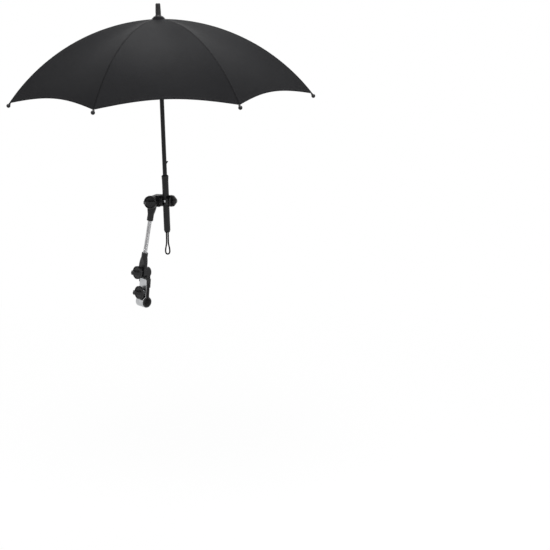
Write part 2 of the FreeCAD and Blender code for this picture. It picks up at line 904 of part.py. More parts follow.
nut_back = front + num("recess_depth")
stud_end = found(nut_back - num("nut_height")) - size("face_gap")
eye_side = size("eye_width") * 0.5 + size("face_gap")
pivot_knob_base = eye_side + size("washer_wall") + size("face_gap")
stud_start = pivot_knob_base + knob_reach
node(
    "pivot_bolt",
    cylinder(size("bolt_radius"), stud_start - stud_end, shift(0, stud_start.value, 0) * ALONG_MINUS_Y),
    BLOCK_SIDE,
)
node("pivot_washer", washer(BLOCK, -eye_side))
PIVOT_KNOB = BLOCK * shift(0, -pivot_knob_base.value, 0) * ALONG_MINUS_Y
lower_knob("pivot_knob", PIVOT_KNOB)
nut_blank = prism(6, size("nut_radius"), size("nut_height"), shift(0, nut_back, 0) * ALONG_MINUS_Y)
nut_hole = cylinder(
    bolt_hole, size("nut_height") + size("cut_over") * 2, shift(0, nut_back + over, 0) * ALONG_MINUS_Y
)
node("pivot_nut", cut(nut_blank, nut_hole), BLOCK_SIDE)

eye_blank = cylinder(
    eye_outer,
    size("eyebolt_height"),
    MID * shift(num("pole_offset"), 0, -num("eyebolt_height") / 2),
)
eye_hole = cylinder(
    size("handle_radius") + size("eyebolt_fit"), tall, MID * shift(num("pole_offset"), 0, -tall.value / 2)
)
stub = cylinder(
    size("bolt_radius"), size("eyebolt_stub") + size("eyebolt_wall") * 0.5, MID * shift(stub_start, 0, 0) * ALONG_X
)
jaw_far = size("pole_offset") + size("jaw_gap") * 0.5
knob_at = jaw_far + size("moving_jaw_wall") + size("face_gap")
stem_start = size("pole_offset") + eye_outer - size("eyebolt_wall") * 0.5
stem = cylinder(
    size("bolt_radius"), knob_at + knob_reach - stem_start, MID * shift(stem_start.value, 0, 0) * ALONG_X
)
node("pole_eye_bolt", cut(fuse(eye_blank, stub, stem), eye_hole), BLOCK_SIDE)

jaw_blank = cylinder(
    size("jaw_radius"), size("moving_jaw_wall"), MID * shift(jaw_far.value, 0, 0) * ALONG_X
)
jaw_groove = cylinder(grip, tall, MID * shift(num("pole_offset"), 0, -tall.value / 2))
jaw_pocket = cylinder(pocket_r, pocket_h, MID * shift(num("pole_offset"), 0, -pocket_h.value / 2))
jaw_hole = cylinder(
    bolt_hole,
    size("moving_jaw_wall") + size("cut_over") * 2,
    MID * shift(jaw_far.value - over, 0, 0) * ALONG_X,
)
node("pole_jaw", cut(jaw_blank, jaw_groove, jaw_pocket, jaw_hole), BLOCK_SIDE)
POLE_KNOB = BLOCK_SIDE * MID * shift(knob_at.value, 0, 0) * ALONG_X
knob(
    "pole_knob",
    POLE_KNOB,
    size("pole_knob_radius"),
    size("pole_knob_hub"),
    size("pole_knob_height"),
    size("pole_wing_height"),
    size("pole_boss_height"),
)


# Parasol, in a frame whose origin is on the pole's axis at the height of the rib pivots.

shaft_r = size("shaft_radius")
shaft_low = -num("handle_top") - num("shaft_in_handle")
shaft_length = size("handle_top") + size("shaft_in_handle") + size("shaft_top")
shaft_tube = cylinder(shaft_r, shaft_length, shift(0, 0, shaft_low))
shaft_bore = cylinder(
    shaft_r - size("shaft_wall"),
    shaft_length + size("cut_over") * 2,
    shift(0, 0, shaft_low - over),
)

pivot_r = num("notch_pivot_radius")
arc_r = num("rib_arc_radius")
arc_drop = math.sqrt(arc_r**2 - pivot_r**2)
start_angle = math.degrees(math.asin(pivot_r / arc_r))
rib_sweep = math.degrees(num("rib_length") / arc_r)
clip_angle = math.radians(start_angle) + num("clip_length") / arc_r
clip_r = arc_r - num("clip_drop")
clip_x = clip_r * math.sin(clip_angle)
clip_z = clip_r * math.cos(clip_angle) - arc_drop
link = math.hypot(clip_x - pivot_r, clip_z)
link_angle = math.atan2(-clip_z, clip_x - pivot_r)
fold = math.radians(num("fold_angle"))
runner_z = 2 * clip_z
runner_travel = 2 * link * (math.sin(link_angle + fold) - math.sin(link_angle))
print("runner at %.2f, travel %.2f, link %.2f" % (runner_z, runner_travel, link))

catch_turn = 360.0 / RIBS * (RIBS - 1.5)
CATCH = TOP * turn(AZ, catch_turn)
open_catch_top = runner_z - num("runner_skirt") - num("face_gap")
closed_window_top = runner_z - runner_travel - num("window_top")
closed_catch_top = closed_window_top - num("catch_slot_gap") * 2
slot_wide = size("catch_width") + size("catch_slot_gap") * 2
slot_tall = size("catch_length") + size("catch_slot_gap") * 2


def catch_slot(top):
    return box(
        shaft_r + size("cut_over"),
        slot_wide,
        slot_tall,
        turn(AZ, catch_turn)
        * shift(0, -slot_wide.value / 2, top + num("catch_slot_gap") - slot_tall.value),
    )


pin_reach = size("shaft_radius") + size("stop_pin_reach")
stop_z = runner_z + num("runner_crown_top") + num("face_gap") + num("stop_pin_radius")
pin_place = shift(-pin_reach.value, 0, stop_z) * ALONG_X
stop_hole = cylinder(size("stop_pin_radius"), pin_reach * 2, pin_place)
node(
    "shaft",
    cut(shaft_tube, shaft_bore, catch_slot(open_catch_top), catch_slot(closed_catch_top), stop_hole),
    TOP,
)
node("stop_pin", cylinder(size("stop_pin_radius"), pin_reach * 2, pin_place), TOP)

handle = new_body("handle", BASE)
grip_r = size("handle_radius")
end_round = size("handle_end_round")
tall_grip = size("notch_height") + size("handle_below") - size("handle_top")
socket_r = shaft_r + size("shaft_fit") * 0.5
deep = size("shaft_in_handle")
flare = size("handle_flare")
bead = size("handle_bead")
section = [
    (NIL, NIL),
    (grip_r - end_round, NIL),
    (grip_r - end_round * 0.3, end_round * 0.3),
    (grip_r, end_round),
    (grip_r, tall_grip - size("handle_flare_length")),
    (grip_r + flare, tall_grip - bead * 2),
    (grip_r + flare, tall_grip - bead),
    (grip_r - bead * 0.5, tall_grip),
    (socket_r, tall_grip),
    (socket_r, tall_grip - deep),
    (NIL, tall_grip - deep),
]
revolve(handle, outline(handle, "XZ_Plane", section))

plug = cylinder(size("plug_radius"), size("plug_height"), shift(0, 0, -num("plug_height")))
node("handle_plug", plug, BASE)

# Wrist strap: two strands of round cord that hang from the plug and open into a loop.
HANG = BASE * shift(0, 0, -num("plug_height"))
hang_at = HANG.Base
HANG = shift(hang_at.x, hang_at.y, hang_at.z) * turn(AZ, num("strap_turn_angle"))
STRAP_SHARES = [
    (-0.0377, 0.0000, 0.0047),
    (-0.0374, 0.0031, -0.1887),
    (-0.0377, 0.0031, -0.3774),
    (-0.0401, 0.0000, -0.5189),
    (-0.0692, -0.0031, -0.6604),
    (-0.0912, -0.0063, -0.7862),
    (-0.0928, -0.0031, -0.8962),
    (-0.0676, 0.0000, -0.9686),
    (0.0000, 0.0000, -1.0000),
    (0.0676, -0.0000, -0.9686),
    (0.0928, 0.0031, -0.8962),
    (0.0912, 0.0063, -0.7862),
    (0.0692, 0.0031, -0.6604),
    (0.0401, -0.0000, -0.5189),
    (0.0377, -0.0031, -0.3774),
    (0.0374, -0.0031, -0.1887),
    (0.0377, -0.0000, 0.0047),
]
strap_hang = num("strap_hang")
STRAP_POINTS = [tuple(share * strap_hang for share in point) for point in STRAP_SHARES]


def cord_tube(points, diameter):
    """A tube along straight runs joined by tangent arcs, with its radii and its length."""
    spots = [V(*p) for p in points]
    edges = []
    radii = []
    last = spots[0]
    for n in range(1, len(spots) - 1):
        into = spots[n] - spots[n - 1]
        out = spots[n + 1] - spots[n]
        run = min(into.Length, out.Length)
        into.normalize()
        out.normalize()
        half_turn = into.getAngle(out) / 2
        step = 0.45 * run
        radii.append(step / math.tan(half_turn))
        begin = spots[n] - into * step
        end = spots[n] + out * step
        bisector = (out - into).normalize()
        middle = spots[n] + bisector * (radii[-1] / math.cos(half_turn) - radii[-1])
        edges.append(Part.LineSegment(last, begin).toShape())
        edges.append(Part.Arc(begin, middle, end).toShape())
        last = end
    edges.append(Part.LineSegment(last, spots[-1]).toShape())
    path = Part.Wire(edges)
    way = spots[1] - spots[0]
    section = Part.Wire([Part.Circle(spots[0], way.normalize(), diameter / 2).toShape()])
    return path.makePipeShell([section], True, False), radii, path.Length


strap_tube, strap_radii, strap_length = cord_tube(STRAP_POINTS, num("strap_diameter"))
strap_area = math.pi * (num("strap_diameter") / 2) ** 2
print("strap radii " + " ".join("%.1f" % r for r in strap_radii))
print("strap volume %.1f, section times length %.1f" % (strap_tube.Volume, strap_area * strap_length))
print("strap length %.1f" % strap_length)
node("wrist_strap", shaped(strap_tube, "strap"), HANG)

# Top notch: a slotted hub for the ribs with a ring of wire through their eyes.
notch = new_body("notch", TOP)
hub_r = shaft_r + size("shaft_fit") * 0.5
groove = size("ring_wire") + size("ring_fit") * 0.5
wire_in = size("notch_pivot_radius") - groove
section = [
    (hub_r, -size("notch_foot")),
    (size("notch_radius") - size("notch_foot") * 0.4, -size("notch_foot")),
    (size("notch_radius"), -size("notch_foot") * 0.5),
    (size("notch_radius"), -groove),
    (wire_in, -groove),
    (wire_in, groove),
    (size("notch_radius"), groove),
    (size("notch_radius"), size("slot_roof")),
    (size("notch_radius") - size("notch_top") * 0.5, size("notch_top")),
    (hub_r, size("notch_top")),
]
revolve(notch, outline(notch, "XZ_Plane", section))
slot_deep = size("notch_radius") + size("cut_over") - size("slot_floor")
slot_high = size("notch_foot") + size("slot_roof") + size("cut_over")
slot = body_box(
    notch,
    "Subtractive",
    slot_deep,
    size("slot_width"),
    slot_high,
    shift(num("slot_floor"), -num("slot_width") / 2, -num("notch_foot") - over),
)
around(notch, slot, RIBS)
node("notch_wire", torus(size("notch_pivot_radius"), size("ring_wire"), shift(0, 0, 0)), TOP)

# Runner: a sleeve with a slotted crown that the stretchers stand in, and a window for the catch.
RUNNER = TOP * shift(0, 0, runner_z)
runner = new_body("runner", RUNNER)
slide_r = shaft_r + size("runner_fit")
skirt = size("runner_skirt")
bead_r = size("runner_radius")
section = [
    (slide_r, -skirt),
    (bead_r, -skirt),
    (bead_r, -size("runner_crown_foot")),
    (size("runner_crown_radius"), -size("runner_crown_foot") * 0.6),
    (size("runner_crown_radius"), size("runner_crown_top") * 0.6),
    (size("runner_crown_radius") - size("runner_crown_top") * 0.4, size("runner_crown_top")),
    (slide_r, size("runner_crown_top")),
]
revolve(runner, outline(runner, "XZ_Plane", section))
slot_in = bead_r + size("runner_fit") * 0.5
crown_deep = size("runner_crown_radius") + size("cut_over") - slot_in
crown_high = size("runner_crown_foot") + size("runner_crown_top") + size("cut_over") * 2
crown_slot = body_box(
    runner,
    "Subtractive",
    crown_deep,
    size("slot_width"),
    crown_high,
    shift(slot_in.value, -num("slot_width") / 2, -num("runner_crown_foot") - over),
)
around(runner, crown_slot, RIBS)
body_box(
    runner,
    "Subtractive",
    size("runner_radius") + size("cut_over"),
    size("window_width"),
    size("window_length"),
    turn(AZ, catch_turn)
    * shift(0, -num("window_width") / 2, -num("window_top") - num("window_length")),
)


def catch(label, top):
    """A spring catch: a wedge that stands out of the shaft's slot, on a leaf inside the tube."""
    body = new_body(label, CATCH * shift(0, 0, top))
    inner = shaft_r - size("shaft_wall") - size("catch_slot_gap")
    leaf = size("catch_leaf_wall")
    tip = shaft_r + size("catch_reach")
    long = size("catch_length")
    tail = -size("catch_leaf")
    wedge = [
        (inner - leaf, NIL),
        (tip, NIL),
        (tip, -leaf),
        (inner, -long),
        (inner, tail),
        (inner - leaf, tail),
    ]
    pad(body, outline(body, "XZ_Plane", wedge), size("catch_width"))
    return body


catch("open_catch", open_catch_top)
catch("closed_catch", closed_catch_top)

# Ferrule and the cloth cap below it.
rib_cover = (num("rib_radius") + num("canopy_gap")) / math.sin(math.pi / 2 - math.pi / RIBS)
canopy_in = arc_r + rib_cover
canopy_out = canopy_in + num("canopy_wall")


def canopy_height(radius):
    return math.sqrt(canopy_out**2 - radius**2) - arc_drop


cap_low = canopy_height(num("cap_radius")) + num("canopy_gap")
cap = new_body("top_cap", TOP * shift(0, 0, cap_low))
cap_r = size("cap_radius")
cap_w = size("cap_wall")
cap_up = size("cap_rise")
top_flat = size("notch_radius") - cap_w
section = [
    (hub_r, cap_up),
    (top_flat, cap_up),
    (cap_r, NIL),
    (cap_r, cap_w),
    (top_flat + cap_w * 0.5, cap_up + cap_w),
    (hub_r, cap_up + cap_w),
]
revolve(cap, outline(cap, "XZ_Plane", section))

ferrule_low = cap_low + num("cap_rise") + num("cap_wall")
ferrule = new_body("ferrule", TOP * shift(0, 0, ferrule_low))
fer_r = size("ferrule_radius")
collar_r = size("ferrule_collar_radius")
collar = size("ferrule_collar")
wall = size("ferrule_wall")
fer_h = size("ferrule_height")
tip_r = size("ferrule_tip_radius")
shaft_over = found(num("shaft_top") - ferrule_low) + size("face_gap")
section = [
    (hub_r, NIL),
    (collar_r, NIL),
    (collar_r, collar * 0.3),
    (fer_r + wall * 2, collar * 0.6),
    (fer_r + wall, collar * 1.4),
    (fer_r + wall, shaft_over + wall),
    (tip_r + wall, fer_h - wall * 2),
    (tip_r, fer_h),
    (NIL, fer_h),
    (NIL, shaft_over),
    (hub_r, shaft_over),
]
revolve(ferrule, outline(ferrule, "XZ_Plane", section))


def arc_place(first):
    """A torus arc laid in the XZ plane that starts this many degrees from straight up."""
    a = math.radians(first)
    spin = FreeCAD.Matrix(
        math.sin(a), math.cos(a), 0, 0, 0, 0, 1, 0, math.cos(a), -math.sin(a), 0, -arc_drop, 0, 0, 0, 1
    )
    return FreeCAD.Placement(spin)


seam_turn = 140.0


def across(radius, width, x, z):
    """A short cylinder across the rib's plane, centred on it."""
    return cylinder(radius, width, shift(x, -width.value / 2, z) * ALONG_Y * turn(AZ, seam_turn))


RIB_FRAMES = [TOP * turn(AZ, 360.0 * k / RIBS) for k in range(RIBS)]
end_angle = math.radians(start_angle + rib_sweep)
TIP = FreeCAD.Placement(
    V(arc_r * math.sin(end_angle), 0, arc_r * math.cos(end_angle) - arc_drop),
    FreeCAD.Rotation(AY, 90 + start_angle + rib_sweep),
)

for k, frame in enumerate(RIB_FRAMES, start=1):
    rod = torus(size("rib_arc_radius"), size("rib_radius"), arc_place(start_angle), rib_sweep)
    eye = across(size("rib_eye_radius"), size("rib_eye_width"), pivot_r, 0)
    cheek_span = size("stretcher_eye_width") + size("stretcher_fit") * 2 + size("clip_wall") * 2
    drop = size("clip_drop")
    lug = across(size("clip_radius"), cheek_span, clip_x, clip_z)
    lean = turn(AY, math.degrees(clip_angle))
    web_box = box(
        size("clip_radius") * 2,
        cheek_span,
        drop + size("clip_rise"),
        shift(clip_x, 0, clip_z) * lean * shift(-num("clip_radius"), -cheek_span.value / 2, 0),
    )
    clear = size("stretcher_eye_width") + size("stretcher_fit") * 2
    room_r = size("clip_radius") + size("cut_over")
    room = box(
        room_r * 2,
        clear,
        drop - size("rib_radius") + size("clip_rise") + size("clip_radius") + size("cut_over"),
        shift(clip_x, 0, clip_z)
        * lean
        * shift(-room_r.value, -clear.value / 2, -num("clip_radius") - over),
    )
    pin = across(size("clip_pin"), cheek_span, clip_x, clip_z)
    clip = fuse(cut(fuse(lug, web_box), room), pin)
    solid = fuse(rod, eye, clip)
    wire_hole = across(size("ring_wire") + size("ring_fit"), size("rib_eye_width") * 2, pivot_r, 0)
    node("rib_%d" % k, cut(solid, wire_hole), frame)

    ball_solid = ball(size("tip_ball_radius"), shift(0, 0, num("tip_ball_radius") * 0.8))
    sleeve = cylinder(
        size("tip_sleeve_radius"),
        size("tip_sleeve_length"),
        shift(0, 0, num("tip_ball_radius") - num("tip_sleeve_length")),
    )
    rod_again = torus(size("rib_arc_radius"), size("rib_radius"), TIP.inverse() * arc_place(start_angle), rib_sweep)
    node("rib_tip_%d" % k, cut(fuse(ball_solid, sleeve), rod_again), frame * TIP)

    slope = math.degrees(link_angle)
    strut_place = shift(pivot_r, 0, runner_z) * turn(AY, 90 - slope)
    strut = fresh("Part::Cylinder", "strut")
    bind(strut, Radius=size("stretcher_radius"))
    strut.Height = link
    strut.Placement = strut_place
    inner_eye = across(size("stretcher_eye_radius"), size("stretcher_eye_width"), pivot_r, runner_z)
    outer_eye = across(size("stretcher_eye_radius"), size("stretcher_eye_width"), clip_x, clip_z)
    pin_room = across(
        size("clip_pin") + size("stretcher_fit"), size("stretcher_eye_width") * 2, clip_x, clip_z
    )
    node("stretcher_%d" % k, cut(fuse(strut, inner_eye, outer_eye), pin_room), frame)


# Canopy: seven panels, one round each rib, that meet along the middles of the seven gores.
# Each section is two arcs and two lines in a plane through the pole; the loft runs straight between
# sections, with its crease on the rib and a hem that curves up between the rib tips.

gore_half = math.pi / RIBS
hem_angle = math.radians(start_angle) + (num("rib_length") - num("canopy_stop")) / arc_r
SECTION_SHARES = (-1.0, -0.66, -0.33, 0.0, 0.33, 0.66, 1.0)
edge_slip = num("canopy_gap") / 2 / (canopy_out * math.sin(hem_angle))


def canopy_section(share):
    """One closed section of a panel at a share of the way from its rib to the gore's middle."""
    away = abs(share)
    phi = away * (gore_half - edge_slip)
    narrow = math.cos(gore_half) / math.cos(gore_half - phi)
    hem = hem_angle - num("canopy_scallop") * (1 - (1 - away) ** 2) / canopy_out
    top = math.asin(num("canopy_hole") / canopy_out)
    corners = []
    for radius in (canopy_out, canopy_in):
        line = []
        for angle in (top, (top + hem) / 2, hem):
            reach = radius * math.sin(angle) * narrow
            part = (angle - top) / (hem - top)
            low = num("canopy_sag") * away**2 * math.sin(math.pi * part)
            line.append((reach, radius * math.cos(angle) - arc_drop - low))
        corners.append(line)
    way = math.copysign(phi, share)

    def spot(point):
        return V(point[0] * math.cos(way), point[0] * math.sin(way), point[1])

    outer = [spot(p) for p in corners[0]]
    inner = [spot(p) for p in corners[1]]
    return Part.Wire(
        [
            Part.Arc(outer[0], outer[1], outer[2]).toShape(),
            Part.LineSegment(outer[2], inner[2]).toShape(),
            Part.Arc(inner[2], inner[1], inner[0]).toShape(),
            Part.LineSegment(inner[0], outer[0]).toShape(),
        ]
    )


panel_shape = Part.makeLoft([canopy_section(share) for share in SECTION_SHARES], True, True)
for k, frame in enumerate(RIB_FRAMES, start=1):
    node("canopy_panel_%d" % k, shaped(panel_shape, "panel"), frame)

doc.recompute()

faults = []
for obj in doc.Objects:
    if "Invalid" in obj.State or "Error" in obj.State:
        faults.append("%s %s" % (obj.Name, obj.Label))
for label, obj in PARTS.items():
    if obj.Shape.isNull() or not obj.Shape.isValid():
        faults.append(label + " has no valid shape")
if faults:
    raise RuntimeError("; ".join(faults))

os.makedirs("parts", exist_ok=True)
for label, obj in PARTS.items():
    obj.Shape.exportStep("parts/%s.step" % label)
print("%d parts" % len(PARTS))
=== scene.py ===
import json
import math

import bpy
from mathutils import Matrix, Vector


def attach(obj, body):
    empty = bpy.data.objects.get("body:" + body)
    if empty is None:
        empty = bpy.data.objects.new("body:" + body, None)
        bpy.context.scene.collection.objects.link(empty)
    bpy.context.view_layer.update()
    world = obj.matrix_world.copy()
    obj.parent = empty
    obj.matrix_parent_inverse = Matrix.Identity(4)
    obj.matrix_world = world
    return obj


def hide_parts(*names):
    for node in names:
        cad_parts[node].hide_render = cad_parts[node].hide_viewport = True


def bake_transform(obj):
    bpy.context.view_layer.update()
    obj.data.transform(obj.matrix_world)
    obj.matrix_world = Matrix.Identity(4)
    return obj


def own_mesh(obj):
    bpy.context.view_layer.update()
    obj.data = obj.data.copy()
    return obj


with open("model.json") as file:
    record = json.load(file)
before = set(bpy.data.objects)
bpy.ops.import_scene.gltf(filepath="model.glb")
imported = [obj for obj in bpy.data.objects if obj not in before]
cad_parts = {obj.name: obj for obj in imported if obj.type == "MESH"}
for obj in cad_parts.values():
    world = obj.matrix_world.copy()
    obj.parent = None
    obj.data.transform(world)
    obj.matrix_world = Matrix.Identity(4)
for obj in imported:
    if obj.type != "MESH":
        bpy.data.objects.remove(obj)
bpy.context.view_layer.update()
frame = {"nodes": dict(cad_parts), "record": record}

# Pram parasol: black cloth canopy on seven ribs, pole with grip and wrist cord, wound steel neck and
# a knob tightened tube clamp. Metres, in the frame of the solids.

JOINTS = {j["name"]: j for j in frame["record"]["behaviour"]["joints"]}
SLOTS = {s["node"]: s["material_slot"] for s in frame["record"]["subparts"]}
COLLECTION = bpy.context.scene.collection
RIBS = 7

# Frames read back from the joints.
SOCKET_TOP = 0.058
POLE_UP = -Vector(JOINTS["runner_slide"]["axis"]).normalized()
PIVOTS = [Vector(JOINTS["rib_%d_swing" % (k + 1)]["pos_m"]) for k in range(RIBS)]
TOP = sum(PIVOTS, Vector()) / RIBS
RIB_OUT = [(p - TOP).normalized() for p in PIVOTS]
NECK_UP = Vector(JOINTS["neck_twist"]["axis"]).normalized()
NECK_SIDE = Vector(JOINTS["neck_bend"]["axis"]).normalized()
NECK_OUT = NECK_SIDE.cross(NECK_UP).normalized()
NECK_FOOT = Vector(JOINTS["neck_twist"]["pos_m"]) - NECK_UP * SOCKET_TOP

# Sizes of the ribs and the canopy. The cloth ends nearer to the rib tips than the solid panels and is
# hollowed deeper between the ribs.
ARC = 0.517
PIVOT_R = 0.010
ARC_DROP = math.sqrt(ARC**2 - PIVOT_R**2)
RIB_LENGTH = 0.469
ROD_R = 0.0015
CLOTH_GAP = 0.0003
CANOPY_STOP = 0.0022
SCALLOP = 0.024
SAG = 0.011
HOLE = 0.0154
GORE_HALF = math.pi / RIBS
CANOPY_IN = ARC + (ROD_R + CLOTH_GAP) / math.cos(GORE_HALF)
CLOTH = 0.0006
HEM = math.asin(PIVOT_R / ARC) + (RIB_LENGTH - CANOPY_STOP) / ARC
CLOTH_LENGTH = HEM * ARC
COLUMNS = 28
ROWS = 44

# Sewing of the cloth.
WEAVE_HEIGHT = 0.0001
SEWN_HEIGHT = 0.0006
STITCH_DEPTH = 0.0004
STITCH_STEP = 0.0026
SEAM_STITCHES = 0.0019
HEM_STITCHES = 0.0066

# Neck: heights above its foot, and radii.
COIL_LOW = 0.052
COIL_HIGH = 0.159
COIL_TURNS = 46
COIL_STEPS = 20
COIL_R = 0.0051
WIRE_R = 0.0009
CORE_LOW = 0.049
CORE_LENGTH = 0.113
CORE_STEPS = 40
CORE_R = 0.0029

# Wrist cord: its hole lies in the plug of the grip's lower end.
NOTCH_HEIGHT = 0.494
GRIP_BELOW = 0.086
PLUG = 0.003
CORD_R = 0.0021
CORD_TURN = math.radians(47)

# Studio: floor, and a camera with its focal length in pixels of the picture.
FLOOR = -0.72
FLOOR_HALF = 40
AZIMUTH = math.radians(47.451)
PITCH = math.radians(14.717)
FOCAL = 1272.952
PICTURE = 550
SENSOR = 36
AIM_HEIGHT = 0.300
AIM_RIGHT = 0.373576
AIM_UP = -0.215517
DISTANCE = 3.543965


def nodes_of(material):
    material.use_nodes = True
    tree = material.node_tree
    tree.nodes.clear()
    out = tree.nodes.new("ShaderNodeOutputMaterial")
    shader = tree.nodes.new("ShaderNodeBsdfPrincipled")
    tree.links.new(shader.outputs["BSDF"], out.inputs["Surface"])
    return tree, shader


def noise(tree, coords, scale, detail=3.0, rough=0.55):
    n = tree.nodes.new("ShaderNodeTexNoise")
    n.inputs["Scale"].default_value = scale
    n.inputs["Detail"].default_value = detail
    n.inputs["Roughness"].default_value = rough
    tree.links.new(coords, n.inputs["Vector"])
    return n.outputs["Fac"]


def ramp(tree, fac, low, high, a, b):
    n = tree.nodes.new("ShaderNodeMapRange")
    n.inputs["From Min"].default_value = low
    n.inputs["From Max"].default_value = high
    n.inputs["To Min"].default_value = a
    n.inputs["To Max"].default_value = b
    tree.links.new(fac, n.inputs["Value"])
    return n.outputs["Result"]


def colours(tree, fac, first, second):
    n = tree.nodes.new("ShaderNodeMix")
    n.data_type = "RGBA"
    n.inputs["A"].default_value = (*first, 1)
    n.inputs["B"].default_value = (*second, 1)
    tree.links.new(fac, n.inputs["Factor"])
    return n.outputs["Result"]


def bump(tree, shader, height, strength, distance):
    n = tree.nodes.new("ShaderNodeBump")
    n.inputs["Strength"].default_value = strength
    n.inputs["Distance"].default_value = distance
    tree.links.new(height, n.inputs["Height"])
    tree.links.new(n.outputs["Normal"], shader.inputs["Normal"])


def maths(tree, kind, a, b=0.0):
    n = tree.nodes.new("ShaderNodeMath")
    n.operation = kind
    for socket, value in zip(n.inputs, (a, b)):
        if isinstance(value, (int, float)):
            socket.default_value = value
        else:
            tree.links.new(value, socket)
    return n.outputs["Value"]


def object_coords(tree):
    return tree.nodes.new("ShaderNodeTexCoord").outputs["Object"]


def moulded(name, dark, light, rough_low, rough_high, grain, depth):
    """Moulded plastic: a fine spark grain, slow gloss changes and faint scuffs."""
    material = bpy.data.materials.new(name)
    tree, shader = nodes_of(material)
    at = object_coords(tree)
    slow = noise(tree, at, 60.0, 4.0)
    fine = noise(tree, at, grain, 2.0)
    scuff = noise(tree, at, 420.0, 6.0, 0.7)
    worn = ramp(tree, scuff, 0.5, 0.75, 0.0, 1.0)
    tree.links.new(colours(tree, worn, dark, light), shader.inputs["Base Color"])
    tree.links.new(ramp(tree, slow, 0.3, 0.7, rough_low, rough_high), shader.inputs["Roughness"])
    shader.inputs["Specular IOR Level"].default_value = 0.27
    bump(tree, shader, fine, 0.35, depth)
    return material


def metal(name, dark, light, rough_low, rough_high, stretch, depth):
    """Plated or painted metal: brushed streaks and slow stains."""
    material = bpy.data.materials.new(name)
    tree, shader = nodes_of(material)
    shader.inputs["Metallic"].default_value = 1.0
    at = object_coords(tree)
    mapping = tree.nodes.new("ShaderNodeMapping")
    mapping.inputs["Scale"].default_value = stretch
    tree.links.new(at, mapping.inputs["Vector"])
    streak = noise(tree, mapping.outputs["Vector"], 1.0, 4.0, 0.6)
    slow = noise(tree, at, 45.0, 4.0)
    stain = ramp(tree, slow, 0.3, 0.7, 0.0, 1.0)
    tree.links.new(colours(tree, stain, dark, light), shader.inputs["Base Color"])
    tree.links.new(ramp(tree, streak, 0.3, 0.7, rough_low, rough_high), shader.inputs["Roughness"])
    bump(tree, shader, streak, 0.15, depth)
    return material


def weave_of(tree, flat, thread):
    """Crossing threads of a plain weave as a height between 0 and 1."""
    waves = []
    for way in ("X", "Y"):
        wave = tree.nodes.new("ShaderNodeTexWave")
        wave.bands_direction = way
        wave.inputs["Scale"].default_value = 0.314 / thread
        wave.inputs["Distortion"].default_value = 0.4
        wave.inputs["Detail"].default_value = 1.0
        tree.links.new(flat, wave.inputs["Vector"])
        waves.append(wave.outputs["Fac"])
    return maths(tree, "MAXIMUM", waves[0], waves[1])


def sewn_with_painted_rib_shade(tree, flat, hem, shade, height):
    """Shade and height of cloth with a seam along its rib, a folded hem and a row of stitches on each, and
    painted shade darkening the cloth along the rib.
    """
    parts = tree.nodes.new("ShaderNodeSeparateXYZ")
    tree.links.new(flat, parts.inputs["Vector"])
    across = maths(tree, "ABSOLUTE", parts.outputs["X"])
    down = parts.outputs["Y"]
    below = maths(tree, "SUBTRACT", hem, down)
    seam = ramp(tree, across, 0.0022, 0.0032, 1.0, 0.0)
    fold = ramp(tree, below, 0.0075, 0.0085, 1.0, 0.0)
    raised = maths(tree, "MAXIMUM", seam, fold)
    pucker = noise(tree, flat, 140.0, 2.0)
    raised = maths(tree, "MULTIPLY", raised, ramp(tree, pucker, 0.3, 0.7, 0.7, 1.0))
    height = maths(tree, "ADD", height, maths(tree, "MULTIPLY", raised, SEWN_HEIGHT))
    by_seam = maths(tree, "SUBTRACT", across, SEAM_STITCHES)
    by_hem = maths(tree, "SUBTRACT", below, HEM_STITCHES)
    rows = []
    for spot, run in ((by_seam, down), (by_hem, parts.outputs["X"])):
        line = ramp(tree, maths(tree, "ABSOLUTE", spot), 0.00025, 0.00045, 1.0, 0.0)
        beat = maths(tree, "FRACT", maths(tree, "MULTIPLY", run, 1.0 / STITCH_STEP))
        middle = maths(tree, "ABSOLUTE", maths(tree, "SUBTRACT", beat, 0.5))
        dash = ramp(tree, middle, 0.34, 0.4, 1.0, 0.0)
        rows.append(maths(tree, "MULTIPLY", line, dash))
    stitch = maths(tree, "MAXIMUM", rows[0], rows[1])
    height = maths(tree, "SUBTRACT", height, maths(tree, "MULTIPLY", stitch, STITCH_DEPTH))
    shade = maths(tree, "MULTIPLY", shade, ramp(tree, stitch, 0.0, 1.0, 1.0, 0.35))
    # Painted shade: the cloth is darkened in a narrow band along the rib, where the crease between the
    # panels falls into shade.
    shade = maths(tree, "MULTIPLY", shade, ramp(tree, across, 0.0012, 0.0034, 0.3, 1.0))
    return shade, height


def woven(name, dark, light, thread, sheen, rough, flat_kind="uv", hem=None):
    """Woven cloth: crossing threads, slubs, a slow shade and a soft sheen. With a hem, it gets a seam,
    stitches and painted shade along the rib.
    """
    material = bpy.data.materials.new(name)
    tree, shader = nodes_of(material)
    if flat_kind == "uv":
        flat = tree.nodes.new("ShaderNodeUVMap").outputs["UV"]
    else:
        flat = object_coords(tree)
    weave = weave_of(tree, flat, thread)
    slow = noise(tree, object_coords(tree), 9.0, 3.0)
    slub = noise(tree, flat, 900.0, 2.0)
    shade = maths(tree, "MULTIPLY", weave, ramp(tree, slub, 0.3, 0.7, 0.65, 1.0))
    shade = maths(tree, "MULTIPLY", shade, ramp(tree, slow, 0.35, 0.65, 0.75, 1.0))
    height = maths(tree, "MULTIPLY", weave, WEAVE_HEIGHT)
    if hem is not None:
        shade, height = sewn_with_painted_rib_shade(tree, flat, hem, shade, height)
    tree.links.new(colours(tree, shade, dark, light), shader.inputs["Base Color"])
    shader.inputs["Roughness"].default_value = rough
    shader.inputs["Specular IOR Level"].default_value = 0.035
    shader.inputs["Sheen Weight"].default_value = sheen
    shader.inputs["Sheen Roughness"].default_value = 0.5
    bump(tree, shader, height, 0.6, 1.0)
    return material


